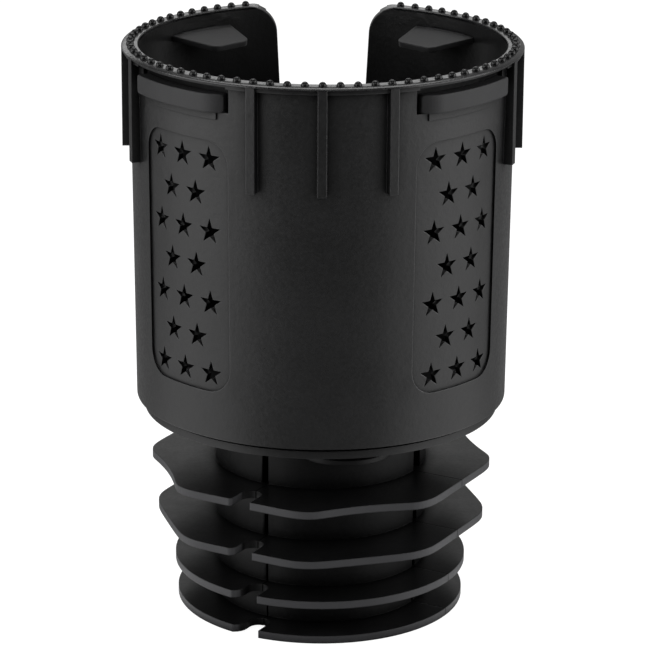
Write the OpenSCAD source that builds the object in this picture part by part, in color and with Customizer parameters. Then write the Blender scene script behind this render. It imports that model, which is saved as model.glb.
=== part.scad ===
// Expanding car cup holder: a wide slotted cup on a twist-to-grip base.
// Turning the cup drives four finned petals out through a spiral plate.
// The origin is on the axis at the underside. The front of the cup faces -Y.

/* [Cup] */
// Outer radius of the cup wall just under the rim
cup_top_r = 51.15; // [50:0.05:53]
// Outer radius of the cup wall at its lower edge
cup_base_r = 50.2; // [49.5:0.05:51.5]
// Thickness of the cup wall
cup_wall = 2.2; // [1.8:0.05:2.6]
// Height of the cup from its lower edge to the rim face
cup_h = 97; // [92:0.5:120]
// Thickness of the cup floor
cup_floor = 2.5; // [2:0.1:4]
// Rounding of the lower outer edge
cup_edge_round = 0.5; // [0.3:0.1:1.8]
// Rounding where the inside wall meets the floor
cup_inner_round = 4; // [1:0.5:8]

/* [Rim] */
// How far the rim stands out from the wall
rim_out = 2.25; // [1.5:0.05:3]
// Height of the upright edge of the rim's band
rim_edge_h = 0.15; // [0.1:0.05:1]
// How far the rim face falls toward its outer edge
rim_crown_h = 0.65; // [0.2:0.05:1]
// Width of the rounded outer part of the rim face
rim_crown_w = 1.9; // [1:0.1:2.2]
// Height of the lower step of the rim
rim_step_h = 1.2; // [0.8:0.1:3]
// How far the lower step is set back from the band
rim_step_in = 0.75; // [0.3:0.05:1.2]
// Radius of one bead on the rim
bead_r = 1; // [0.6:0.05:1.3]
// How far the centre of a bead lies above the rim face
bead_rise = 0.1; // [0:0.05:0.4]
// Beads to a full turn
beads_per_turn = 72; // [48:4:80]

/* [Ribs] */
// Width of one rib
rib_w = 2.35; // [1.5:0.05:4]
// Height of a rib under the rim face
rib_drop = 28.4; // [24:0.1:40]
// Angle from the middle of the front to the ribs beside the grips
rib_side_angle = 20; // [19:0.5:23]

/* [Handle slot] */
// Width of the slot at the rim
slot_w = 25.6; // [20:0.2:28]
// Depth of the slot under the rim face
slot_depth = 67.5; // [45:0.5:78]
// How much narrower the slot is at its foot
slot_taper = 5; // [0:0.2:6]
// Rounding of the corners at the rim
slot_corner_r = 8.6; // [4:0.2:10]
// Rounding of the corners at the foot
slot_foot_r = 9; // [4:0.5:10]

/* [Star panels] */
// Angle from the middle of the front to the middle of a panel
panel_angle = 45.4; // [43:0.2:47]
// Angle across one panel
panel_span = 35; // [33:0.5:37]
// Height of one panel
panel_h = 67.6; // [66:0.2:72]
// Distance from the rim face to the top of a panel
panel_drop = 16.4; // [16:0.1:19]
// Depth of a panel in the wall
panel_depth = 0.55; // [0.3:0.05:0.9]
// Rounding of a panel's corners
panel_round = 6.5; // [3:0.5:8]
// Radius of one star, from its middle to a point
star_r = 3.5; // [2.5:0.1:3.9]
// Height between two rows of stars
star_pitch = 9.63; // [9:0.05:10]
// Angle between two stars in a row
star_step = 10.45; // [10:0.1:11]

/* [Grip tabs] */
// Angle from the middle of the front to a front tab
tab_angle = 44.6; // [43.5:0.1:45.5]
// Distance from the rim face to the top of the outer bar
tab_drop = 3.7; // [3.2:0.1:5]
// Height of the outer bar
tab_bar_h = 4.8; // [4:0.1:6]
// How far the outer bar stands out from the wall
tab_bar_out = 2.15; // [1.4:0.05:2.4]
// Angle across the outer bar
tab_bar_span = 35; // [30:0.5:36]
// Angle from the middle of the tab to the middle of its bar
tab_bar_turn = 1.9; // [0:0.1:2.5]
// Rounding of the bar's corners, seen from outside
tab_bar_round = 0.9; // [0.5:0.1:1.8]
// Length of the bar's end that curves inward
tab_bar_ease = 6; // [4:0.5:8]
// How far that end curves inward
tab_bar_fall = 1.7; // [0.5:0.1:2]
// Depth of the pocket in the wall that the bar sits in
pocket_depth = 1.2; // [0.8:0.05:1.3]
// Room in the pocket past each end of the bar
pocket_room = 1.2; // [0.5:0.1:1.5]
// How far the pocket rises into the rim's lower step
pocket_rise = 0.5; // [0.1:0.1:0.7]
// How far the flap reaches in from the wall
flap_reach = 14; // [10:0.5:17]
// Width of the flap at the wall
flap_root_w = 23; // [20:0.5:26]
// Width of the flap at its tip
flap_tip_w = 12.4; // [9:0.1:16]
// Rounding of the flap's corners
flap_round = 2.8; // [1:0.1:4]
// Thickness of the flap
flap_t = 1.5; // [1:0.1:2]
// Downward slope of the flap in degrees
flap_slope = 7.5; // [3:0.5:12]
// Width of the neck through the wall
neck_w = 14; // [10:0.5:17]
// Height of the neck through the wall
neck_h = 2.2; // [1.6:0.1:2.8]
// How far the window surround stands out from the wall
surround_out = 0.35; // [0.2:0.05:0.6]
// Angle across the window surround
surround_span = 26; // [22:0.2:28]
// Height of the window surround under the outer bar
surround_below = 2.1; // [1:0.1:3]

/* [Spiral plate] */
// How far the lip under the cup is set back from the cup's lower edge
lip_in = 2.1; // [1.2:0.1:2.6]
// Height of the lip
lip_h = 2.1; // [1.8:0.1:4]
// Gap between the cup and the lip
lip_line = 1; // [0.5:0.05:1.2]
// Height of the spigot that fills the recess under the cup
spigot_h = 2.7; // [2:0.1:4]
// Wall left beside the spigot at the cup's lower edge
spigot_wall = 3.3; // [2.8:0.1:3.8]
// Depth of the spiral grooves
groove_depth = 3; // [2.4:0.1:3.4]
// Radius of the circle of screws in the cup floor
plate_screw_ring = 36; // [32:0.5:42]

/* [Base] */
// Turn of the base under the cup in degrees
base_turn = 16; // [0:1:90]
// Outer radius of the petal wall, closed
petal_r = 28.9; // [28.4:0.1:32]
// Thickness of the petal wall
petal_wall = 2.2; // [1.6:0.1:2.4]
// Height of the petals
petal_h = 50.6; // [48:0.2:60]
// How far the petals travel outward
petal_travel = 8.5; // [6:0.1:8.8]
// Turn of the cup that drives the full travel, in degrees
twist_angle = 100; // [85:1:105]
// Gap between two petals, closed
seam_gap = 0.2; // [0.1:0.05:0.8]
// How far a side petal's wall stops short of its notched seam, above the top fin
notch_wall_gap = 1.75; // [0.5:0.05:3]
// How far it stops short of its plain seam there
plain_wall_gap = 4; // [0.5:0.1:5]
// How far the petals stand clear of the ground
petal_lift = 0.1; // [0.05:0.05:0.3]

/* [Fins] */
// Thickness of a fin
fin_t = 2.1; // [1.4:0.1:2.4]
// Height of the top face of the first fin from the top
fin_1_z = 40.3; // [38:0.1:44]
// Height of the top face of the second fin
fin_2_z = 25.7; // [23:0.1:28]
// Height of the top face of the third fin
fin_3_z = 12.4; // [10:0.1:15]
// Radius of the first fin
fin_1_r = 46.6; // [44:0.1:47]
// Radius of the second fin
fin_2_r = 45; // [42:0.1:46]
// Radius of the third fin
fin_3_r = 40; // [38:0.1:43]
// Radius of the lowest fin
fin_4_r = 39.3; // [37:0.1:42]
// Depth of the hollow at the middle of the first fin
scallop_depth = 3.6; // [1:0.1:5]
// Radius of that hollow
scallop_r = 72; // [50:1:120]
// Depth of the flat over a seam of the first fin
seam_flat_1 = 3; // [0.5:0.1:3.5]
// Depth of the flat at the middle of the second fin
flat_depth = 1.9; // [0.5:0.1:3]
// Depth of the flat over a seam of the second fin
seam_flat_2 = 2.5; // [0.5:0.1:3]
// How sharply the edges of these fins turn from one curve to the next
fin_turn = 80; // [40:5:160]
// Width of the finger notches over two of the seams
notch_w = 5.8; // [3:0.1:8]
// Depth of the finger notches from the fin's edge
notch_depth = 8.3; // [4:0.1:8.5]
// Rounding at the inner end of a notch
notch_round = 2.8; // [0.5:0.1:2.8]
// Rounding at the mouth of a notch on the first fin; each fin below has twice as much, up to the third
notch_flare = 1; // [0.3:0.1:1.2]

/* [Mechanism] */
// Thickness of the round plate on top of a petal
shoe_t = 1.4; // [1:0.1:2]
// Radius of that plate
shoe_r = 12.9; // [9:0.1:13]
// How far that plate stands out of the petal wall
shoe_out = 7.6; // [4:0.1:9]
// Radius of a follower pin
pin_r = 2; // [1.5:0.1:2.4]
// Radius at which a follower pin stands, closed
pin_ring = 15; // [14.6:0.1:15.4]
// Wall of the boss round a follower pin
pin_boss_wall = 1.4; // [1:0.1:1.6]
// Side gap of a pin in its groove and of a boss in its slot
guide_gap = 0.2; // [0.1:0.05:0.3]
// Thickness of the hub's disc
hub_disc_t = 3.9; // [3.5:0.1:6]
// Wall of the hub's disc outside its slots
hub_rim = 2.9; // [2:0.1:4]
// Outer radius of the hub's column
column_r = 9.4; // [8.8:0.1:9.8]
// Thickness of the hub's web round the pivot bolt
pivot_web_t = 8.4; // [6:0.2:12]
// Thickness of the web inside a petal
petal_web_t = 2.6; // [1.8:0.1:3.4]
// Side gap of that web in its channel
web_gap = 0.3; // [0.2:0.05:0.4]
// Wall of a channel
channel_wall = 1.8; // [1.2:0.1:2.2]
// Height of the bosses that take the foot screws
foot_boss_h = 16; // [8:0.5:30]
// Radius of the foot plate, and how far the channels reach
foot_r = 23.5; // [23:0.1:24]
// Thickness of the foot plate
foot_t = 1.8; // [1.6:0.1:3]
// Thickness of the glide ring
glide_t = 0.7; // [0.4:0.1:1.5]
// Width of the glide ring
glide_w = 2.5; // [1:0.1:3]
// Running gap over the glide ring and under the hub's web
run_gap = 0.1; // [0.05:0.05:0.3]
// Running gap over and under a petal's top plate
slide_gap = 0.3; // [0.2:0.05:0.5]

/* [Fasteners] */
// Radius of the pivot bolt
bolt_r = 3; // [2.5:0.1:3.5]
// Radius of the bolt's head
bolt_head_r = 5; // [4.4:0.1:5.4]
// Height of the bolt's head
bolt_head_h = 3.2; // [2.6:0.1:5]
// Gap round the bolt in the hub
bolt_gap = 0.1; // [0.05:0.01:0.1]
// Wall of the threaded insert
insert_wall = 1.2; // [0.8:0.1:1.5]
// Length of the threaded insert
insert_len = 6; // [4:0.2:7]
// Wall of the cup's boss round the insert
boss_wall = 3.3; // [2:0.1:4]
// Radius of the flat washer
washer_r = 6.2; // [5.6:0.1:6.4]
// Thickness of the flat washer
washer_t = 1; // [0.6:0.1:1.6]
// Thickness of the split spring washer
spring_t = 1.2; // [0.8:0.1:1.6]
// Radius of a screw's shank
screw_r = 1.3; // [1:0.1:1.6]
// Radius of a screw's head
screw_head_r = 2.6; // [2:0.1:3]
// Height of a screw's head
screw_head_h = 1.2; // [1:0.1:1.5]
// Length of a screw's shank
screw_len = 5; // [3:0.5:6]
// Radius of the circle of screws in the foot plate
foot_screw_ring = 12.4; // [12:0.1:13]
// Fit gap round everything that seats in a recess
fit_gap = 0.1; // [0.05:0.05:0.2]

/* [Hidden] */

$fn = 180;
fine = 48;
far = 200;
eps = 0.01;

petal_top = petal_lift + petal_h;
shoe_z = petal_top - shoe_t;
disc_z = petal_top + slide_gap;
disc_top = disc_z + hub_disc_t;
plate_z = disc_top + glide_t + run_gap;
cup_z = plate_z + lip_h + lip_line;
floor_z = cup_z + spigot_h;
floor_top = floor_z + cup_floor;
rim_z = cup_z + cup_h;

cup_inner_top_r = cup_top_r - cup_wall;
cup_inner_base_r = cup_base_r - cup_wall;
rim_r = cup_top_r + rim_out;
rim_band_h = rim_edge_h + rim_crown_h;
wall_near = min(cup_base_r, cup_top_r) / 2;
wall_far = max(cup_base_r, cup_top_r) + rim_out + 1;
rim_step_r = rim_r - rim_step_in;
step_z = rim_z - rim_band_h - rim_step_h;
spigot_r = cup_base_r - spigot_wall;
lip_r = cup_base_r - lip_in;
bead_ring_r = (cup_inner_top_r + rim_r) / 2 - 0.12;
slot_edge_x = slot_w / 2 + slot_corner_r;
bead_last = floor((180 - asin(slot_edge_x / bead_ring_r)) * beads_per_turn / 360);
rib_angles = [0, rib_side_angle, -rib_side_angle, 90 - rib_side_angle,
    rib_side_angle - 90, 90, -90, 90 + rib_side_angle, -90 - rib_side_angle];
star_rows = 7;

tab_z = rim_z - tab_drop - tab_bar_h;
surround_r = cup_top_r + surround_out;
pocket_r = cup_top_r - pocket_depth;
bar_inner_r = pocket_r + fit_gap;
bar_outer_r = cup_top_r + tab_bar_out;
bar_start = tab_bar_turn - tab_bar_span / 2;
neck_z = tab_z + (tab_bar_h - neck_h) / 2 + 0.6;
flap_r = cup_inner_r(rim_z - tab_drop) - fit_gap;

pin_far = pin_ring + petal_travel;
pin_boss_r = pin_r + pin_boss_wall;
slot_end_r = pin_far + pin_boss_r + guide_gap;
hub_r = slot_end_r + hub_rim;
glide_r = hub_r - 0.4;
groove_top = plate_z + groove_depth;
pin_z = shoe_z + shoe_t / 2;
pin_top = groove_top - slide_gap;
pin_boss_top = disc_top + glide_t / 2;

petal_inner_r = petal_r - petal_wall;
shoe_ring = petal_r + shoe_out - shoe_r;
web_inner_r = column_r + 1.6;
web_z = foot_t + slide_gap;
channel_w = petal_web_t + 2 * (web_gap + channel_wall);
channel_top = shoe_z - slide_gap;

boss_r = bolt_r + insert_wall + boss_wall;
insert_r = bolt_r + insert_wall;
insert_z = plate_z + 0.5;
web_under_z = disc_top - pivot_web_t;
column_bore_r = column_r - 2.6;
washer_z = web_under_z - run_gap - washer_t;
spring_z = washer_z - spring_t;
bolt_z = spring_z - bolt_head_h;
bolt_top = insert_z + insert_len - 0.4;

petal_names = [for (i = [0:3]) base_turn + 90 * i];

// Wall radii of the cup at a height
function cup_outer_r(z) =
    cup_base_r + (cup_top_r - cup_base_r) * (z - cup_z) / (step_z - cup_z);
function cup_inner_r(z) =
    cup_inner_base_r + (cup_inner_top_r - cup_inner_base_r) * (z - floor_top) / (rim_z - floor_top);

// Points of an arc in the drawing plane
function arc(cx, cy, r, from, to, steps) =
    [for (i = [0:steps]) let (a = from + (to - from) * i / steps) [cx + r * cos(a), cy + r * sin(a)]];

// A five-pointed star with one point up
function star_points(r) =
    [for (i = [0:9]) let (q = i % 2 == 0 ? r : r * sin(18) / sin(54), a = 90 + 36 * i)
        [q * cos(a), q * sin(a)]];

// Turns a piece made at the front round to an angle
module at_angle(a) {
    rotate([0, 0, a]) children();
}

// Stands a drawing up so that it faces the front, and cuts it outward
module facing_front(inner, outer) {
    translate([0, -inner, 0]) rotate([90, 0, 0]) linear_extrude(outer - inner) children();
}

// A wedge of the plan from the axis, centred on the front
module wedge(span, r) {
    polygon([[0, 0], [-r * tan(span / 2), -r], [r * tan(span / 2), -r]]);
}

// A ring segment centred on the front
module ring_segment(inner, outer, z, h, span) {
    translate([0, 0, z]) linear_extrude(h) intersection() {
        difference() {
            circle(outer);
            circle(inner);
        }
        wedge(span, far / 2);
    }
}

// Rounded rectangle drawn about its middle
module soft_rect(w, h, r) {
    q = min(r, w / 2 - eps, h / 2 - eps);
    polygon(concat(
        arc(w / 2 - q, h / 2 - q, q, 0, 90, 8), arc(q - w / 2, h / 2 - q, q, 90, 180, 8),
        arc(q - w / 2, q - h / 2, q, 180, 270, 8), arc(w / 2 - q, q - h / 2, q, 270, 360, 8)));
}

// Cup

module cup_profile() {
    polygon(concat(
        [[0, floor_z], [spigot_r + fit_gap, floor_z], [spigot_r + fit_gap, cup_z]],
        arc(cup_base_r - cup_edge_round, cup_z + cup_edge_round, cup_edge_round, -90, 0, 5),
        [[cup_top_r, step_z], [rim_step_r, step_z], [rim_step_r, rim_z - rim_band_h],
            [rim_r, rim_z - rim_band_h]],
        [for (i = [0:8]) [rim_r - rim_crown_w * (1 - cos(i * 90 / 8)),
            rim_z - rim_crown_h * (1 - sin(i * 90 / 8))]],
        [[cup_inner_top_r + 0.2, rim_z], [cup_inner_top_r, rim_z - 0.2]],
        arc(cup_inner_base_r - cup_inner_round, floor_top + cup_inner_round, cup_inner_round, 0, -90, 6),
        [[0, floor_top]]));
}

module beads() {
    for (i = [-bead_last:bead_last])
        at_angle(360 / beads_per_turn * i)
            translate([0, -bead_ring_r, rim_z + bead_rise]) sphere(bead_r, $fn = 24);
}

module rib() {
    translate([-rib_w / 2, -rim_r, rim_z - rib_drop])
        cube([rib_w, rim_r - cup_inner_top_r - cup_wall / 2, rib_drop - rim_band_h]);
}

module slot_shape() {
    foot_w = slot_w - slot_taper;
    foot_y = rim_z - slot_depth;
    polygon(concat(
        arc(slot_edge_x, rim_z - slot_corner_r, slot_corner_r, 180, 90, 16),
        [[slot_edge_x, rim_z + 5], [-slot_edge_x, rim_z + 5]],
        arc(-slot_edge_x, rim_z - slot_corner_r, slot_corner_r, 90, 0, 16),
        arc(slot_foot_r - foot_w / 2, foot_y + slot_foot_r, slot_foot_r, 180, 270, 16),
        arc(foot_w / 2 - slot_foot_r, foot_y + slot_foot_r, slot_foot_r, 270, 360, 16)));
}

module handle_slot() {
    at_angle(180) facing_front(wall_near, far / 2) slot_shape();
}

// The panel floor follows the tapered wall, a little deeper than its face
module panel_recess() {
    low = rim_z - panel_drop - panel_h;
    high = rim_z - panel_drop;
    intersection() {
        facing_front(wall_near, far / 2) translate([0, (low + high) / 2])
            soft_rect(2 * cup_base_r * sin(panel_span / 2), panel_h, panel_round);
        rotate_extrude()
            polygon([[cup_outer_r(low - 1) - panel_depth, low - 1], [far / 2, low - 1],
                [far / 2, high + 1], [cup_outer_r(high + 1) - panel_depth, high + 1]]);
    }
}

module star_holes() {
    mid_z = rim_z - panel_drop - panel_h / 2 - 0.2;
    for (row = [0:star_rows - 1]) {
        count = row % 2 == 0 ? 3 : 2;
        for (i = [0:count - 1])
            at_angle((i - (count - 1) / 2) * star_step)
                facing_front(wall_near, wall_far)
                    translate([0, mid_z + (row - (star_rows - 1) / 2) * star_pitch])
                        polygon(star_points(star_r));
    }
}

// Raised strip under the pocket of a grip tab
module tab_surround() {
    ring_segment(cup_top_r - 1, surround_r, tab_z - surround_below, surround_below + 0.5,
        surround_span);
}

// Pocket that the outer bar of a grip tab sits in, open above the bar
module tab_pocket() {
    at_angle(tab_bar_turn)
        ring_segment(pocket_r, wall_far, tab_z - fit_gap, step_z + pocket_rise - tab_z + fit_gap,
            tab_bar_span + 2 * pocket_room / bar_outer_r * 180 / PI);
}

module tab_window() {
    facing_front(wall_near, wall_far)
        translate([0, neck_z + neck_h / 2])
            square([neck_w + 2 * fit_gap, neck_h + 2 * fit_gap], center = true);
}

// The tabs mirror each other, left to right and front to back
module at_tabs() {
    at_angle(tab_angle) children();
    mirror([1, 0, 0]) at_angle(tab_angle) children();
    mirror([0, 1, 0]) at_angle(tab_angle) children();
    at_angle(180 + tab_angle) children();
}

module at_plate_screws() {
    for (i = [0:3]) at_angle(90 * i) translate([0, -plate_screw_ring, 0]) children();
}

module cup_shell() color([0.07, 0.07, 0.08]) {
    difference() {
        union() {
            rotate_extrude() cup_profile();
            beads();
            for (a = rib_angles) at_angle(a) rib();
            at_tabs() tab_surround();
            translate([0, 0, plate_z]) cylinder(h = floor_z - plate_z + eps, r = boss_r);
        }
        handle_slot();
        for (s = [-1, 1]) at_angle(s * panel_angle) {
            panel_recess();
            star_holes();
        }
        at_tabs() {
            tab_pocket();
            tab_window();
        }
        translate([0, 0, plate_z - 1]) cylinder(h = insert_z + insert_len - plate_z + 1, r = insert_r);
        at_plate_screws() {
            translate([0, 0, floor_z - 1]) cylinder(h = cup_floor + 2, r = screw_r + fit_gap);
            translate([0, 0, floor_top - screw_head_h - fit_gap])
                cylinder(h = far, r = screw_head_r + fit_gap);
        }
    }
}

// Grip tab: outer bar, neck through the wall and sloping inner flap

// Outer radius of the bar at an angle: its front end curves inward
function bar_r(a) =
    let (along = (a - bar_start) * PI / 180 * bar_outer_r)
        bar_outer_r - tab_bar_fall * pow(max(0, 1 - along / tab_bar_ease), 2);

module tab_bar() {
    steps = 40;
    angles = [for (i = [0:steps]) bar_start + tab_bar_span * i / steps];
    low = bar_r(bar_start) * sin(bar_start);
    high = bar_outer_r * sin(bar_start + tab_bar_span);
    intersection() {
        translate([0, 0, tab_z - 1]) linear_extrude(tab_bar_h + 2) polygon(concat(
            [for (a = angles) bar_r(a) * [sin(a), -cos(a)]],
            [for (i = [steps:-1:0]) bar_inner_r * [sin(angles[i]), -cos(angles[i])]]));
        facing_front(wall_near, wall_far) translate([(low + high) / 2, tab_z + tab_bar_h / 2])
            soft_rect(high - low, tab_bar_h, tab_bar_round);
    }
}

module tab_flap() {
    root = flap_root_w / 2 + 1;
    tip = flap_tip_w / 2;
    lean = atan((root - tip) / (flap_reach + 4));
    corner_x = tip - flap_round * (1 - sin(lean)) / cos(lean);
    intersection() {
        translate([0, -flap_r, neck_z + neck_h]) rotate([-flap_slope, 0, 0])
            translate([0, 0, -flap_t]) linear_extrude(flap_t) polygon(concat(
                [[-root, -4], [root, -4]],
                arc(corner_x, flap_reach - flap_round, flap_round, lean, 90, 8),
                arc(-corner_x, flap_reach - flap_round, flap_round, 90, 180 - lean, 8)));
        cylinder(h = far, r = flap_r);
    }
}

module grip_tab() color([0.1, 0.1, 0.11]) {
    tab_bar();
    tab_flap();
    translate([-neck_w / 2, -bar_inner_r - 0.2, neck_z])
        cube([neck_w, bar_inner_r + 0.2 - flap_r + 1.2, neck_h]);
}

// Spiral plate under the cup

// Radius of the spiral at an angle in degrees
function spiral_r(a) = pin_ring + petal_travel * a / twist_angle;

module spiral_groove() {
    half = pin_r + guide_gap + 0.05;
    steps = 25;
    outer = [for (i = [0:steps]) let (a = twist_angle * i / steps - 90)
        (spiral_r(twist_angle * i / steps) + half) * [cos(a), sin(a)]];
    inner = [for (i = [steps:-1:0]) let (a = twist_angle * i / steps - 90)
        (spiral_r(twist_angle * i / steps) - half) * [cos(a), sin(a)]];
    polygon(concat(outer, inner));
    translate([0, -pin_ring]) circle(half, $fn = fine);
    rotate(twist_angle) translate([0, -pin_far]) circle(half, $fn = fine);
}

module spiral_plate() color([0.09, 0.09, 0.1]) {
    difference() {
        union() {
            translate([0, 0, plate_z]) cylinder(h = lip_h, r = lip_r);
            translate([0, 0, plate_z]) cylinder(h = floor_z - plate_z, r = spigot_r);
        }
        translate([0, 0, plate_z - 1]) cylinder(h = far, r = boss_r + fit_gap);
        translate([0, 0, plate_z - 1]) linear_extrude(groove_depth + 1)
            for (a = petal_names) rotate(a) spiral_groove();
        at_plate_screws() translate([0, 0, floor_top - screw_head_h - screw_len - 0.5])
            cylinder(h = far, r = screw_r + fit_gap / 2);
    }
}

// Fasteners of the cup

module cross_recess(w, depth) {
    for (a = [0, 90]) rotate([0, 0, a])
        translate([-w / 2, -w / 6, 0]) cube([w, w / 3, depth]);
}

module plate_screw() {
    difference() {
        union() {
            cylinder(h = screw_head_h, r = screw_head_r, $fn = fine);
            translate([0, 0, -screw_len]) cylinder(h = screw_len + eps, r = screw_r, $fn = fine);
        }
        translate([0, 0, screw_head_h * 0.4]) cross_recess(screw_head_r, screw_head_h);
    }
}

module plate_screws() color([0.5, 0.5, 0.52])
    at_plate_screws() translate([0, 0, floor_top - screw_head_h - fit_gap]) plate_screw();

module threaded_insert() color([0.72, 0.58, 0.3])
    translate([0, 0, insert_z]) difference() {
        cylinder(h = insert_len, r = insert_r, $fn = fine);
        translate([0, 0, -1]) cylinder(h = insert_len + 2, r = bolt_r + 0.05, $fn = fine);
    }

module pivot_bolt() color([0.55, 0.55, 0.57])
    difference() {
        union() {
            translate([0, 0, bolt_z]) cylinder(h = bolt_head_h, r = bolt_head_r, $fn = fine);
            translate([0, 0, bolt_z]) cylinder(h = bolt_top - bolt_z, r = bolt_r, $fn = fine);
        }
        translate([0, 0, bolt_z - 1]) cylinder(h = bolt_head_h * 0.7 + 1, r = bolt_r * 0.77, $fn = 6);
    }

module spring_washer() color([0.6, 0.6, 0.62])
    translate([0, 0, spring_z]) linear_extrude(spring_t) difference() {
        circle(bolt_head_r, $fn = fine);
        circle(bolt_r + fit_gap, $fn = fine);
        translate([bolt_r, -0.3]) square([bolt_head_r, 0.6]);
    }

module flat_washer() color([0.6, 0.6, 0.62])
    translate([0, 0, washer_z]) difference() {
        cylinder(h = washer_t, r = washer_r, $fn = fine);
        translate([0, 0, -1]) cylinder(h = washer_t + 2, r = bolt_r + fit_gap, $fn = fine);
    }

// Base

module glide_ring() color([0.85, 0.85, 0.83])
    translate([0, 0, disc_top]) difference() {
        cylinder(h = glide_t, r = glide_r);
        translate([0, 0, -1]) cylinder(h = glide_t + 2, r = glide_r - glide_w);
    }

module at_foot_screws() {
    for (i = [0:3]) at_angle(base_turn + 45 + 90 * i) translate([0, -foot_screw_ring, 0]) children();
}

module hub_slot() {
    translate([0, -pin_ring]) circle(pin_boss_r + guide_gap, $fn = fine);
    translate([0, -pin_far]) circle(pin_boss_r + guide_gap, $fn = fine);
    translate([-pin_boss_r - guide_gap, -pin_far])
        square([2 * (pin_boss_r + guide_gap), petal_travel]);
}

module base_hub() color([0.11, 0.11, 0.12]) {
    difference() {
        union() {
            translate([0, 0, disc_z]) cylinder(h = hub_disc_t, r = hub_r);
            translate([0, 0, foot_t]) cylinder(h = disc_z - foot_t + 1, r = column_r);
            for (a = petal_names) at_angle(a)
                translate([-channel_w / 2, -foot_r, foot_t])
                    cube([channel_w, foot_r, channel_top - foot_t]);
            at_foot_screws() translate([0, 0, foot_t]) cylinder(h = foot_boss_h, r = screw_r + 2.4, $fn = fine);
        }
        for (a = petal_names) at_angle(a) {
            translate([-petal_web_t / 2 - web_gap, -far / 2, 0])
                cube([petal_web_t + 2 * web_gap, far / 2 - column_r, channel_top + 1]);
            translate([0, 0, disc_z - 1]) linear_extrude(hub_disc_t + 2) hub_slot();
        }
        cylinder(h = web_under_z, r = column_bore_r);
        cylinder(h = far, r = bolt_r + bolt_gap);
        at_foot_screws() cylinder(h = foot_t + screw_len + 1, r = screw_r + fit_gap / 2, $fn = fine);
    }
}

module foot_plate() color([0.11, 0.11, 0.12])
    difference() {
        cylinder(h = foot_t, r = foot_r);
        at_foot_screws() {
            translate([0, 0, -1]) cylinder(h = foot_t + 2, r = screw_r + fit_gap);
            translate([0, 0, -1]) cylinder(h = screw_head_h + 1 + fit_gap, r = screw_head_r + fit_gap);
        }
    }

module foot_screws() color([0.5, 0.5, 0.52])
    at_foot_screws() translate([0, 0, screw_head_h + fit_gap]) mirror([0, 0, 1]) plate_screw();

// Petals

fin_tops = [fin_1_z, fin_2_z, fin_3_z, petal_lift + fin_t];
seam_radii = [fin_1_r - seam_flat_1, fin_2_r - seam_flat_2, fin_3_r, fin_4_r];

// Radius of the cut at the middle of a fin, at an angle from the petal's middle
function middle_r(tier, a) = tier == 0
    ? let (d = fin_1_r - scallop_depth + scallop_r)
        d * cos(a) - sqrt(max(0, pow(scallop_r, 2) - pow(d * sin(a), 2)))
    : (fin_2_r - flat_depth) / cos(a);

// Radius of the first or second fin: round, cut at its middle and over the seams, each
// curve eased into the next
function lobed_r(tier, a) =
    let (r = [fin_1_r, fin_2_r][tier], seam = seam_radii[tier] / cos(45 - abs(a)))
        r * pow(1 + pow(r / middle_r(tier, a), fin_turn) + pow(r / seam, fin_turn), -1 / fin_turn);

module fin_outline(tier) {
    steps = 60;
    if (tier < 2)
        polygon(concat([[0, 0]], [for (i = [0:steps]) let (a = 46 * (2 * i / steps - 1))
            lobed_r(tier, a) * [sin(a), -cos(a)]]));
    if (tier == 2) circle(fin_3_r);
    if (tier == 3) circle(fin_4_r);
}

// Plan of one petal, cut back from its left and right seam
module petal_sector(left, right) {
    translate([(left - right) / sqrt(2), -(left + right) / sqrt(2)])
        polygon([[0, 0], [-far, -far], [far, -far]]);
}

// Finger notch over the seam at one end of a petal, rounded at its mouth
module notch(tier) {
    end = seam_radii[tier] - notch_depth;
    half = notch_w / 2;
    q = min(notch_round, half - eps);
    flare = min(notch_flare * pow(2, min(tier, 2)), notch_depth - q - eps);
    polygon(concat(
        [[half, -far / 2]],
        arc(half - q, -end - q, q, 0, 90, 8), arc(q - half, -end - q, q, 90, 180, 8),
        arc(-half - flare, flare - seam_radii[tier] - 0.02, flare, 0, -90, 6),
        [[-half - flare, -far / 2]]));
}

// A wall stands back from a seam by top above the first fin, and by less below each fin
function wall_cut(top, tier) = seam_gap / 2 + (top - seam_gap / 2) / pow(2, tier);

module petal(notch_side) color([0.1, 0.1, 0.11]) {
    levels = [petal_top, fin_tops[0], fin_tops[1], fin_tops[2], petal_lift];
    side = notch_side > 0;
    difference() {
        union() {
            for (tier = [0:3])
                translate([0, 0, levels[tier + 1]])
                    linear_extrude(levels[tier] - levels[tier + 1] + (tier > 0 ? eps : 0))
                        intersection() {
                            difference() {
                                circle(petal_r);
                                circle(petal_inner_r);
                            }
                            petal_sector(side ? wall_cut(plain_wall_gap, tier) : seam_gap / 2,
                                side ? wall_cut(notch_wall_gap, tier) : seam_gap / 2);
                        }
            for (tier = [0:3])
                translate([0, 0, fin_tops[tier] - fin_t]) linear_extrude(fin_t) difference() {
                    intersection() {
                        fin_outline(tier);
                        petal_sector(seam_gap / 2, seam_gap / 2);
                    }
                    circle(petal_inner_r);
                    rotate(45 * notch_side) notch(tier);
                }
            translate([0, -shoe_ring, shoe_z]) cylinder(h = shoe_t, r = shoe_r);
            translate([-petal_web_t / 2, -petal_inner_r - 0.5, web_z])
                cube([petal_web_t, petal_inner_r + 0.5 - web_inner_r, shoe_z - web_z + eps]);
            translate([0, -pin_ring, shoe_z])
                cylinder(h = pin_boss_top - shoe_z, r = pin_boss_r, $fn = fine);
        }
        translate([0, -pin_ring, pin_z]) cylinder(h = far, r = pin_r, $fn = fine);
    }
}

module follower_pin() color([0.7, 0.7, 0.72])
    translate([0, -pin_ring, pin_z]) cylinder(h = pin_top - pin_z, r = pin_r, $fn = fine);

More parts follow.
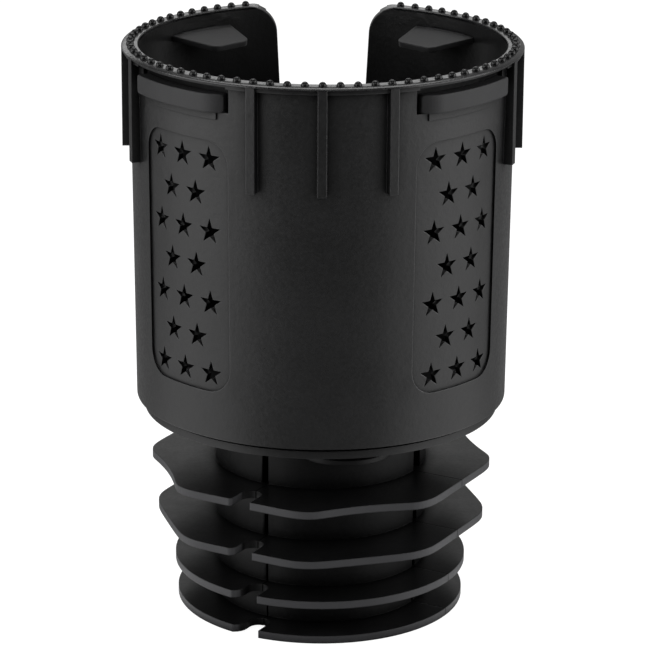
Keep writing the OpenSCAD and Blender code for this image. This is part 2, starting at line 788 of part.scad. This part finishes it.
module grip_tab_front_left() mirror([1, 0, 0]) at_angle(tab_angle) grip_tab();
module grip_tab_front_right() at_angle(tab_angle) grip_tab();
module grip_tab_back_left() at_angle(180 + tab_angle) grip_tab();
module grip_tab_back_right() mirror([0, 1, 0]) at_angle(tab_angle) grip_tab();
module petal_front() at_angle(petal_names[0]) petal(-1);
module petal_right() at_angle(petal_names[1]) petal(1);
module petal_back() at_angle(petal_names[2]) petal(-1);
module petal_left() at_angle(petal_names[3]) petal(1);
module follower_pin_front() at_angle(petal_names[0]) follower_pin();
module follower_pin_right() at_angle(petal_names[1]) follower_pin();
module follower_pin_back() at_angle(petal_names[2]) follower_pin();
module follower_pin_left() at_angle(petal_names[3]) follower_pin();

cup_shell();
grip_tab_front_left();
grip_tab_front_right();
grip_tab_back_left();
grip_tab_back_right();
spiral_plate();
plate_screws();
threaded_insert();
pivot_bolt();
spring_washer();
flat_washer();
glide_ring();
base_hub();
foot_plate();
foot_screws();
petal_front();
petal_right();
petal_back();
petal_left();
follower_pin_front();
follower_pin_right();
follower_pin_back();
follower_pin_left();
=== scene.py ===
"""Car cup holder, dressed: moulded black plastic, rubber tabs and steel parts in a white studio."""

import math

import bmesh
import bpy
from bpy.props import FloatProperty, FloatVectorProperty, IntProperty, PointerProperty
from mathutils import Matrix, Vector


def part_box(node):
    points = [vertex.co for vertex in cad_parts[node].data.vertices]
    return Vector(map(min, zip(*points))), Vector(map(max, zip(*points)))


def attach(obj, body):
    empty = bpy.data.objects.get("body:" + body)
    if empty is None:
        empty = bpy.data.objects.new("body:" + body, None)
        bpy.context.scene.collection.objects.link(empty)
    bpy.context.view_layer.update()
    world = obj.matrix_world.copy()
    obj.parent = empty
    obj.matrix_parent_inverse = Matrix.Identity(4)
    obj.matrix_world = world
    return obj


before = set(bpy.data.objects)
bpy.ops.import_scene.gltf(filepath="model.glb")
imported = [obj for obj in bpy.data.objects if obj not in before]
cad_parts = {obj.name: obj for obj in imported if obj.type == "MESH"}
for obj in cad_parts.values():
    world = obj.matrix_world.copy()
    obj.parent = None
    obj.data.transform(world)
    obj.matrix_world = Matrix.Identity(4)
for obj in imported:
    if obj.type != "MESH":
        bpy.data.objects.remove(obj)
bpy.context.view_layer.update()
RIM_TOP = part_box("cup_shell")[1].z
PETALS = [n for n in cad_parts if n.startswith("petal_")]
TABS = [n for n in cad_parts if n.startswith("grip_tab_")]
PINS = [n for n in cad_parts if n.startswith("follower_pin_")]

BEAD_CENTRE = RIM_TOP - 0.001
RIM_FACE = RIM_TOP - 0.00185
RIM_ROUGHNESS = 0.18
# Reach of the painted shade in holes and corners.
PAINTED_SHADE_REACH = 0.004
FIN_EDGE_RADIUS = 0.0375
BEAD_SEGMENTS, BEAD_RINGS = 20, 12
SHADER_SAMPLES = 4

FLOOR_REACH = 3.0
FLOOR_DROP = 0.0001
FLOOR_GREY = 0.3
FLOOR_GLOW = 0.93
LIT_POINT = (0, 0, 0.085)
CAMERA_EYE, CAMERA_AIM = (0, -0.847, 0.34462), (0, 0, 0.07782)
CAMERA_ROLL = math.radians(0.339)
CAMERA_LENS, CAMERA_SENSOR, CAMERA_SHIFT = 182.26, 36, 0.0019

bl_info = {
    "name": "Car Cup Holder",
    "version": (1, 0, 0),
    "blender": (4, 5, 0),
    "location": "3D View > Sidebar > Cup Holder",
    "description": "Finishes and studio for an expanding car cup holder",
    "category": "Object",
}


class Val:
    """One output socket. Arithmetic on it adds Math nodes to its tree."""

    def __init__(self, tree, socket):
        self.tree, self.socket = tree, socket

    def _math(self, operation, *others):
        values = dict(enumerate((self, *others)))
        return self.tree.add("ShaderNodeMath", {"operation": operation}, values)

    def __add__(self, other):
        return self._math("ADD", other)

    __radd__ = __add__

    def __mul__(self, other):
        return self._math("MULTIPLY", other)

    __rmul__ = __mul__

    def __sub__(self, other):
        return self._math("SUBTRACT", other)

    def __rsub__(self, other):
        return self.tree.add("ShaderNodeMath", {"operation": "SUBTRACT"}, {0: other, 1: self})

    def sin(self):
        return self._math("SINE")

    def cos(self):
        return self._math("COSINE")

    def ramp(self, low, high, to_low=0.0, to_high=1.0):
        """Smooth step from low to high."""
        settings = {"interpolation_type": "SMOOTHSTEP"}
        values = {0: self, 1: low, 2: high, 3: to_low, 4: to_high}
        return self.tree.add("ShaderNodeMapRange", settings, values)


class Tree:
    """Fills one node tree. Every node comes from add."""

    def __init__(self, tree):
        self.tree = tree
        tree.nodes.clear()

    def add(self, kind, settings=None, values=None, out=0):
        node = self.tree.nodes.new(kind)
        for key, value in (settings or {}).items():
            setattr(node, key, value)
        for key, value in (values or {}).items():
            if isinstance(value, Val):
                self.tree.links.new(value.socket, node.inputs[key])
            else:
                node.inputs[key].default_value = value
        return Val(self, node.outputs[out]) if node.outputs else node

    def mix(self, factor, first, second):
        settings = {"data_type": "RGBA"}
        return self.add("ShaderNodeMix", settings, {0: factor, 6: first, 7: second}, out=2)

    def noise(self, place, size, detail=3.0, roughness=0.5):
        """Noise whose features are about size metres across."""
        values = {"Vector": place, "Scale": 1 / size, "Detail": detail, "Roughness": roughness}
        return self.add("ShaderNodeTexNoise", {}, values)

    def cells(self, place, size):
        values = {"Vector": place, "Scale": 1 / size}
        return self.add("ShaderNodeTexVoronoi", {"feature": "SMOOTH_F1"}, values)

    def vector(self, operation, first, second=(0, 0, 0), out=0):
        """Vector maths. Output 1 is its plain number."""
        values = {0: first, 1: second}
        return self.add("ShaderNodeVectorMath", {"operation": operation}, values, out)

    def ray(self, kind):
        """1 where a ray of that kind looks, else 0."""
        return self.add("ShaderNodeLightPath", out=f"Is {kind} Ray")

    def place(self):
        return self.add("ShaderNodeTexCoord", out="Object")

    def height(self, place):
        return self.add("ShaderNodeSeparateXYZ", {}, {0: place}, out=2)


def rgba(colour, gain=1.0):
    return (*[min(1.0, c * gain) for c in colour], 1.0)


def new_material(name):
    made = bpy.data.materials.new(name)
    made.use_nodes = True
    return made, Tree(made.node_tree)


def finish_material(tree, bsdf):
    tree.add("ShaderNodeOutputMaterial", {}, {"Surface": bsdf})


def moulded(name, colour, roughness, grain, relief, edge, edge_highlight_gain=1.0, polish=None, edge_face_highlight=None,
             specular=0.5, shade_reach=None):
    """Grained injection-moulded plastic with a painted highlight: its edges are painted the given
    gain times paler.

    polish is (height, roughness) of a smooth band above that height. The (radius, gain) pair
    paints the upright faces outside that radius gain times paler, a painted highlight. The reach
    is how far a painted shade goes into holes and corners: a dull dark diffuse mixed in there.
    """
    made, t = new_material(name)
    place = t.place()
    fine = t.noise(place, grain, 2.0, 0.7)
    pits = t.cells(place, grain * 1.7)
    mottle = t.noise(place, 0.022, 4.0, 0.6)
    flow = t.noise(place, 0.005, 3.0, 0.55)
    relief_height = fine * 0.55 + pits * 0.45
    corner = t.add("ShaderNodeBevel", {"samples": SHADER_SAMPLES}, {"Radius": edge})
    normal = t.add("ShaderNodeBump", {}, {
        "Strength": 1.0, "Distance": relief, "Height": relief_height, "Normal": corner})
    flat = t.add("ShaderNodeNewGeometry", out=3)
    turned = t.vector("DOT_PRODUCT", corner, flat, out=1)
    # Painted highlight mask: 1 along edges, where the rounded normal turns away from the flat one.
    rim = (1 - turned).ramp(0.01, 0.2)
    outward = t.vector("MULTIPLY", place, (1, 1, 0))
    facing = t.vector("DOT_PRODUCT", outward, flat, out=1)
    inside = facing.ramp(-0.01, 0.01, 1.0, 0.0)
    shade = (mottle * 0.5 + fine * 0.5).ramp(0.3, 0.7)
    base = t.mix(shade, rgba(colour, 0.5), rgba(colour, 1.6))
    # Painted shade: faces turned towards the axis are painted darker, blended towards a fifth of
    # the colour.
    base = t.mix(inside * 0.6, base, rgba(colour, 0.2))
    # Painted highlight: the edges are painted the given gain times paler.
    base = t.mix(rim, base, rgba(colour, edge_highlight_gain))
    # Painted highlight: upright faces outside the given radius are painted paler.
    if edge_face_highlight:
        away = t.vector("LENGTH", outward, out=1)
        upright = 1 - t.add("ShaderNodeMath", {"operation": "ABSOLUTE"}, {0: t.height(corner)})
        upright_highlight_mask = away.ramp(edge_face_highlight[0], edge_face_highlight[0] + 0.001) * upright
        base = t.mix(upright_highlight_mask, base, rgba(colour, edge_face_highlight[1]))
    rough = roughness + (flow - 0.5) * 0.1 + (mottle - 0.5) * 0.12 - inside * 0.08
    rough = rough + (fine - 0.5) * (1 - inside) * 0.4
    if polish:
        band = t.height(place).ramp(polish[0] - 0.0004, polish[0] + 0.0001)
        rough = rough * (1 - band) + polish[1] * band
    bsdf = t.add("ShaderNodeBsdfPrincipled", {}, {
        "Base Color": base, "Roughness": rough, "Normal": normal,
        "Specular IOR Level": specular})
    # Painted shade: where the ambient occlusion finds little open sky, a dull dark diffuse is mixed
    # in.
    if shade_reach:
        open_sky = t.add("ShaderNodeAmbientOcclusion", {"samples": SHADER_SAMPLES}, {
            "Distance": shade_reach}, out=1)
        painted_shade = t.add("ShaderNodeBsdfDiffuse", {}, {"Color": rgba(colour, 0.3)})
        painted_shade_mask = open_sky.ramp(0.35, 0.95, 0.9, 0.0)
        bsdf = t.add("ShaderNodeMixShader", {}, {0: painted_shade_mask, 1: bsdf, 2: painted_shade})
    finish_material(t, bsdf)
    return made


def metal(name, colour, roughness, brushed):
    """Plated or turned metal with faint tool marks, brushed metres wide."""
    made, t = new_material(name)
    place = t.place()
    stretched = t.add("ShaderNodeMapping", {}, {"Vector": place, "Scale": (1.0, 1.0, 9.0)})
    marks = t.noise(stretched, brushed, 2.0)
    stain = t.noise(place, 0.004, 3.0)
    base = t.mix(stain, rgba(colour, 0.8), rgba(colour, 1.1))
    corner = t.add("ShaderNodeBevel", {"samples": SHADER_SAMPLES}, {"Radius": 0.00015})
    normal = t.add("ShaderNodeBump", {}, {
        "Strength": 0.5, "Distance": 0.00001, "Height": marks, "Normal": corner})
    bsdf = t.add("ShaderNodeBsdfPrincipled", {}, {
        "Base Color": base, "Metallic": 1.0, "Roughness": roughness + (marks - 0.5) * 0.15,
        "Normal": normal})
    finish_material(t, bsdf)
    return made


def dress(obj, made):
    obj.data.materials.clear()
    obj.data.materials.append(made)


def put_on(obj, body):
    """Hands a new piece to the body that it moves with."""
    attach(obj, body)


def baked(source, name):
    """Plain mesh object of what source's modifiers make. The source is removed."""
    graph = bpy.context.evaluated_depsgraph_get()
    mesh = bpy.data.meshes.new_from_object(source.evaluated_get(graph))
    mesh.name = name
    made = bpy.data.objects.new(name, mesh)
    bpy.context.scene.collection.objects.link(made)
    bpy.data.objects.remove(source)
    return made


def node_group(name, inputs):
    """A Geometry Nodes tree with named inputs and one geometry output."""
    group = bpy.data.node_groups.new(name, "GeometryNodeTree")
    for label, kind, value in inputs:
        socket = group.interface.new_socket(label, in_out="INPUT", socket_type=kind)
        if value is not None:
            socket.default_value = value
    group.interface.new_socket("Geometry", in_out="OUTPUT", socket_type="NodeSocketGeometry")
    tree = Tree(group)
    entry = group.nodes.new("NodeGroupInput")
    return group, tree, {s.name: Val(tree, s) for s in entry.outputs if s.name}


def grow(name, group, values):
    """Runs a Geometry Nodes group on an empty mesh and returns the plain mesh object."""
    carrier = bpy.data.objects.new(name + "_carrier", bpy.data.meshes.new(name + "_carrier"))
    bpy.context.scene.collection.objects.link(carrier)
    modifier = carrier.modifiers.new("grow", "NODES")
    modifier.node_group = group
    for item in group.interface.items_tree:
        if item.in_out == "INPUT" and item.name in values:
            modifier[item.identifier] = values[item.name]
    return baked(carrier, name)


class HolderFinish(bpy.types.PropertyGroup):
    """Colours and surface sizes of the holder"""
    cup_colour: FloatVectorProperty(
        name="Cup Colour", description="Moulded plastic of the cup",
        subtype="COLOR", default=(0.007, 0.007, 0.0073), min=0, max=1)
    plate_colour: FloatVectorProperty(
        name="Plate Colour", description="Moulded plastic of the plate under the cup",
        subtype="COLOR", default=(0.006, 0.006, 0.0063), min=0, max=1)
    petal_colour: FloatVectorProperty(
        name="Petal Colour", description="Moulded plastic of the petals and hub",
        subtype="COLOR", default=(0.006, 0.006, 0.0063), min=0, max=1)
    rubber_colour: FloatVectorProperty(
        name="Rubber Colour", description="Rubber of the grip tabs",
        subtype="COLOR", default=(0.016, 0.016, 0.017), min=0, max=1)
    grain: FloatProperty(
        name="Grain", description="Width of the moulded grain",
        unit="LENGTH", default=0.0009, precision=5)
    relief: FloatProperty(
        name="Relief", description="Depth of the moulded grain",
        unit="LENGTH", default=0.00008, precision=6)
    edge: FloatProperty(
        name="Edge Rounding", description="Rounding of the moulded edges",
        unit="LENGTH", default=0.0004, precision=5)


class HolderRim(bpy.types.PropertyGroup):
    """Sizes of the bead row on the rim"""
    bead_count: IntProperty(name="Beads", description="Number of beads", default=63, min=3)
    pitch: FloatProperty(
        name="Pitch", description="Angle between beads", subtype="ANGLE",
        default=math.radians(5))
    ring_radius: FloatProperty(
        name="Ring Radius", description="Radius of the bead row",
        unit="LENGTH", default=0.051055, precision=6)
    bead_radius: FloatProperty(
        name="Bead Radius", description="Radius of one bead",
        unit="LENGTH", default=0.00102, precision=6)


class HolderStage(bpy.types.PropertyGroup):
    """Studio values"""
    side_power: FloatProperty(
        name="Side Power", description="Power of each side lamp", unit="POWER", default=6.0)
    top_power: FloatProperty(
        name="Top Power", description="Power of the lamp overhead", unit="POWER", default=3.0)
    back_power: FloatProperty(
        name="Back Power", description="Power of the strip lamp behind", unit="POWER", default=0.7)
    front_power: FloatProperty(
        name="Front Power", description="Power of the lamp above the camera",
        unit="POWER", default=1.3)
    world_level: FloatProperty(
        name="World Level", description="Strength of the fill light", default=0.03)
    mirror_level: FloatProperty(
        name="Mirror Level", description="How white the backdrop shows in gloss", default=0.25)
    floor_mirror: FloatProperty(
        name="Floor Mirror", description="How white the floor shows in gloss", default=0.9)
    floor_shade: FloatProperty(
        name="Floor Shade", description="Share of that left in front and behind", default=0.08)


class HOLDER_OT_cup(bpy.types.Operator):
    """Finishes the cup shell and the spiral plate below it"""
    bl_idname = "holder.cup"
    bl_label = "Cup"

    def execute(self, context):
        look = context.scene.holder_finish
        # The cup's and the plate's edges get a painted highlight, and their holes and corners a
        # painted shade.
        cup = moulded(
            "cup_plastic", look.cup_colour, 0.4, look.grain, look.relief, look.edge, edge_highlight_gain=8.0,
            polish=(RIM_FACE, RIM_ROUGHNESS), shade_reach=PAINTED_SHADE_REACH)
        dress(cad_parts["cup_shell"], cup)
        plate = moulded(
            "plate_plastic", look.plate_colour, 0.42, look.grain, look.relief * 0.5, look.edge,
            edge_highlight_gain=6.0, shade_reach=PAINTED_SHADE_REACH)
        dress(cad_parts["spiral_plate"], plate)
        return {"FINISHED"}


class HOLDER_OT_beads(bpy.types.Operator):
    """Sets a smooth bead over each dome on the rim"""
    bl_idname = "holder.beads"
    bl_label = "Rim Beads"

    def execute(self, context):
        rim = context.scene.holder_rim
        gloss = moulded(
            "bead_plastic", context.scene.holder_finish.cup_colour, 0.2, 0.0004, 0.000002, 0.0001,
            specular=0.3)
        group, t, given = node_group("bead_row", [
            ("Count", "NodeSocketInt", 3), ("Pitch", "NodeSocketFloat", 0.1),
            ("Ring Radius", "NodeSocketFloat", 0.05), ("Bead Radius", "NodeSocketFloat", 0.001),
            ("Height", "NodeSocketFloat", 0.1), ("Material", "NodeSocketMaterial", None)])
        index = t.add("GeometryNodeInputIndex")
        angle = (index - (given["Count"] - 1) * 0.5) * given["Pitch"]
        where = t.add("ShaderNodeCombineXYZ", {}, {
            0: angle.sin() * given["Ring Radius"],
            1: angle.cos() * given["Ring Radius"] * -1.0,
            2: given["Height"]})
        spots = t.add("GeometryNodePoints", {}, {"Count": given["Count"], "Position": where})
        dome = t.add("GeometryNodeMeshUVSphere", {}, {
            "Segments": BEAD_SEGMENTS, "Rings": BEAD_RINGS, "Radius": given["Bead Radius"]})
        row = t.add("GeometryNodeInstanceOnPoints", {}, {"Points": spots, "Instance": dome})
        real = t.add("GeometryNodeRealizeInstances", {}, {"Geometry": row})
        smooth = t.add("GeometryNodeSetShadeSmooth", {}, {"Geometry": real})
        done = t.add("GeometryNodeSetMaterial", {}, {
            "Geometry": smooth, "Material": given["Material"]})
        t.add("NodeGroupOutput", {}, {"Geometry": done})
        beads = grow("rim_beads", group, {
            "Count": rim.bead_count, "Pitch": rim.pitch, "Ring Radius": rim.ring_radius,
            "Bead Radius": rim.bead_radius, "Height": BEAD_CENTRE, "Material": gloss})
        put_on(beads, "cup")
        return {"FINISHED"}


class HOLDER_OT_tabs(bpy.types.Operator):
    """Finishes the rubber grip tabs"""
    bl_idname = "holder.tabs"
    bl_label = "Grip Tabs"

    def execute(self, context):
        look = context.scene.holder_finish
        rubber = moulded("grip_rubber", look.rubber_colour, 0.6, 0.0005, 0.00001, 0.0006)
        for name in TABS:
            dress(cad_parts[name], rubber)
        return {"FINISHED"}


class HOLDER_OT_petals(bpy.types.Operator):
    """Finishes the four finned petals"""
    bl_idname = "holder.petals"
    bl_label = "Petals"

    def execute(self, context):
        look = context.scene.holder_finish
        # The petals' fin edge faces get a painted highlight and their corners a painted shade.
        satin = moulded(
            "petal_plastic", look.petal_colour, 0.42, look.grain, look.relief * 0.3, look.edge,
            edge_face_highlight=(FIN_EDGE_RADIUS, 12.0), specular=0.25, shade_reach=PAINTED_SHADE_REACH)
        for name in PETALS:
            dress(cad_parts[name], satin)
        return {"FINISHED"}


class HOLDER_OT_hub(bpy.types.Operator):
    """Finishes the hub, the foot plate and the glide ring"""
    bl_idname = "holder.hub"
    bl_label = "Hub"

    def execute(self, context):
        look = context.scene.holder_finish
        hub = moulded("hub_plastic", look.petal_colour, 0.5, look.grain, look.relief * 0.5, 0.0003)
        for name in ("base_hub", "foot_plate"):
            dress(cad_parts[name], hub)
        glide = moulded("glide_plastic", (0.72, 0.72, 0.68), 0.35, 0.001, 0.000004, 0.0001)
        dress(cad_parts["glide_ring"], glide)
        return {"FINISHED"}


class HOLDER_OT_fasteners(bpy.types.Operator):
    """Finishes the screws, bolt, washers, insert and pins"""
    bl_idname = "holder.fasteners"
    bl_label = "Fasteners"

    def execute(self, context):
        plated = metal("zinc_plate", (0.5, 0.5, 0.52), 0.32, 0.0008)
        ground = metal("ground_steel", (0.6, 0.6, 0.62), 0.22, 0.0005)
        turned = metal("turned_brass", (0.7, 0.5, 0.22), 0.28, 0.0004)
        for name in ("plate_screws", "foot_screws", "pivot_bolt", "spring_washer", "flat_washer"):
            dress(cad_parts[name], plated)
        for name in PINS:
            dress(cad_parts[name], ground)
        dress(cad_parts["threaded_insert"], turned)
        return {"FINISHED"}


def lamp(name, place, width, height, power):
    """Rectangular lamp aimed at the middle of the holder. The camera doesn't see it."""
    data = bpy.data.lights.new(name, "AREA")
    data.shape, data.size, data.size_y, data.energy = "RECTANGLE", width, height, power
    made = bpy.data.objects.new(name, data)
    bpy.context.scene.collection.objects.link(made)
    made.location = place
    aim = Vector(LIT_POINT) - Vector(place)
    made.rotation_euler = aim.to_track_quat("-Z", "Y").to_euler()
    made.visible_camera = False
    return made


class HOLDER_OT_stage(bpy.types.Operator):
    """Builds the floor, the lamps, the world and the camera"""
    bl_idname = "holder.stage"
    bl_label = "Stage"

    def execute(self, context):
        stage = context.scene.holder_stage
        floor_mesh = bpy.data.meshes.new("floor")
        shape = bmesh.new()
        bmesh.ops.create_grid(shape, x_segments=1, y_segments=1, size=FLOOR_REACH)
        bmesh.ops.translate(shape, verts=shape.verts, vec=(0, 0, -FLOOR_DROP))
        shape.to_mesh(floor_mesh)
        shape.free()
        floor = bpy.data.objects.new("floor", floor_mesh)
        context.scene.collection.objects.link(floor)
        made, t = new_material("pale_floor")
        seen, through, mirrored = t.ray("Camera"), t.ray("Transmission"), t.ray("Glossy")
        around = t.vector("NORMALIZE", t.place())
        back = t.add("ShaderNodeSeparateXYZ", {}, {0: around}, out=1)
        beside = back.ramp(-0.95, -0.5) * back.ramp(-0.1, 0.5, 1.0, 0.0)
        beside = beside * (1 - stage.floor_shade) + stage.floor_shade
        white = seen + through + mirrored * beside * stage.floor_mirror
        paint = t.add("ShaderNodeBsdfDiffuse", {}, {
            "Color": (FLOOR_GREY, FLOOR_GREY, FLOOR_GREY, 1)})
        glow = t.add("ShaderNodeEmission", {}, {
            "Color": (1, 1, 1, 1), "Strength": white * FLOOR_GLOW})
        finish_material(t, t.add("ShaderNodeAddShader", {}, {0: paint, 1: glow}))
        dress(floor, made)

        world = bpy.data.worlds.new("studio")
        world.use_nodes = True
        context.scene.world = world
        t = Tree(world.node_tree)
        seen, through, mirrored = t.ray("Camera"), t.ray("Transmission"), t.ray("Glossy")
        heading = t.add("ShaderNodeTexCoord", out="Generated")
        behind = t.add("ShaderNodeSeparateXYZ", {}, {0: heading}, out=1).ramp(0.0, 0.6)
        white = seen + through + mirrored * behind * stage.mirror_level
        fill = t.add("ShaderNodeBackground", {}, {
            "Color": (1, 1, 1, 1), "Strength": white * (1 - stage.world_level) + stage.world_level})
        t.add("ShaderNodeOutputWorld", {}, {"Surface": fill})

        lamp("side_left", (-0.76, -0.28, 0.4), 0.9, 0.75, stage.side_power)
        lamp("side_right", (0.8, -0.14, 0.4), 0.9, 0.75, stage.side_power)
        lamp("overhead", (0, 0.35, 0.9), 0.7, 0.5, stage.top_power)
        lamp("back_strip", (-0.3, 1.2, 0.48), 1.0, 0.24, stage.back_power)
        lamp("front_top", (0, -0.62, 0.85), 0.6, 0.4, stage.front_power)

        eye = Vector(CAMERA_EYE)
        forward = (Vector(CAMERA_AIM) - eye).normalized()
        right = Vector((1, 0, 0))
        x_axis = right * math.cos(CAMERA_ROLL) + right.cross(forward) * math.sin(CAMERA_ROLL)
        z_axis = -forward
        y_axis = z_axis.cross(x_axis)
        data = bpy.data.cameras.new("camera")
        data.lens, data.sensor_width, data.shift_x = CAMERA_LENS, CAMERA_SENSOR, CAMERA_SHIFT
        camera = bpy.data.objects.new("camera", data)
        context.scene.collection.objects.link(camera)
        turn = Matrix((x_axis, y_axis, z_axis)).transposed()
        camera.matrix_world = Matrix.Translation(eye) @ turn.to_4x4()
        context.scene.camera = camera
        context.scene.view_settings.view_transform = "Standard"
        return {"FINISHED"}


OPERATORS = (
    HOLDER_OT_cup, HOLDER_OT_beads, HOLDER_OT_tabs, HOLDER_OT_petals, HOLDER_OT_hub,
    HOLDER_OT_fasteners, HOLDER_OT_stage)


class HOLDER_PT_panel(bpy.types.Panel):
    """Lists the holder's pieces"""
    bl_idname = "HOLDER_PT_panel"
    bl_label = "Cup Holder"
    bl_space_type = "VIEW_3D"
    bl_region_type = "UI"
    bl_category = "Cup Holder"

    def draw(self, context):
        for group in (context.scene.holder_finish, context.scene.holder_rim,
                      context.scene.holder_stage):
            for key in group.__annotations__:
                self.layout.prop(group, key)
        for operator in OPERATORS:
            self.layout.operator(operator.bl_idname)


CLASSES = (HolderFinish, HolderRim, HolderStage, *OPERATORS, HOLDER_PT_panel)


def register():
    for cls in CLASSES:
        bpy.utils.register_class(cls)
    bpy.types.Scene.holder_finish = PointerProperty(type=HolderFinish)
    bpy.types.Scene.holder_rim = PointerProperty(type=HolderRim)
    bpy.types.Scene.holder_stage = PointerProperty(type=HolderStage)


def unregister():
    del bpy.types.Scene.holder_stage
    del bpy.types.Scene.holder_rim
    del bpy.types.Scene.holder_finish
    for cls in reversed(CLASSES):
        bpy.utils.unregister_class(cls)


def main():
    register()
    for operator in OPERATORS:
        area, name = operator.bl_idname.split(".")
        getattr(getattr(bpy.ops, area), name)()


if __name__ == "__main__":
    main()
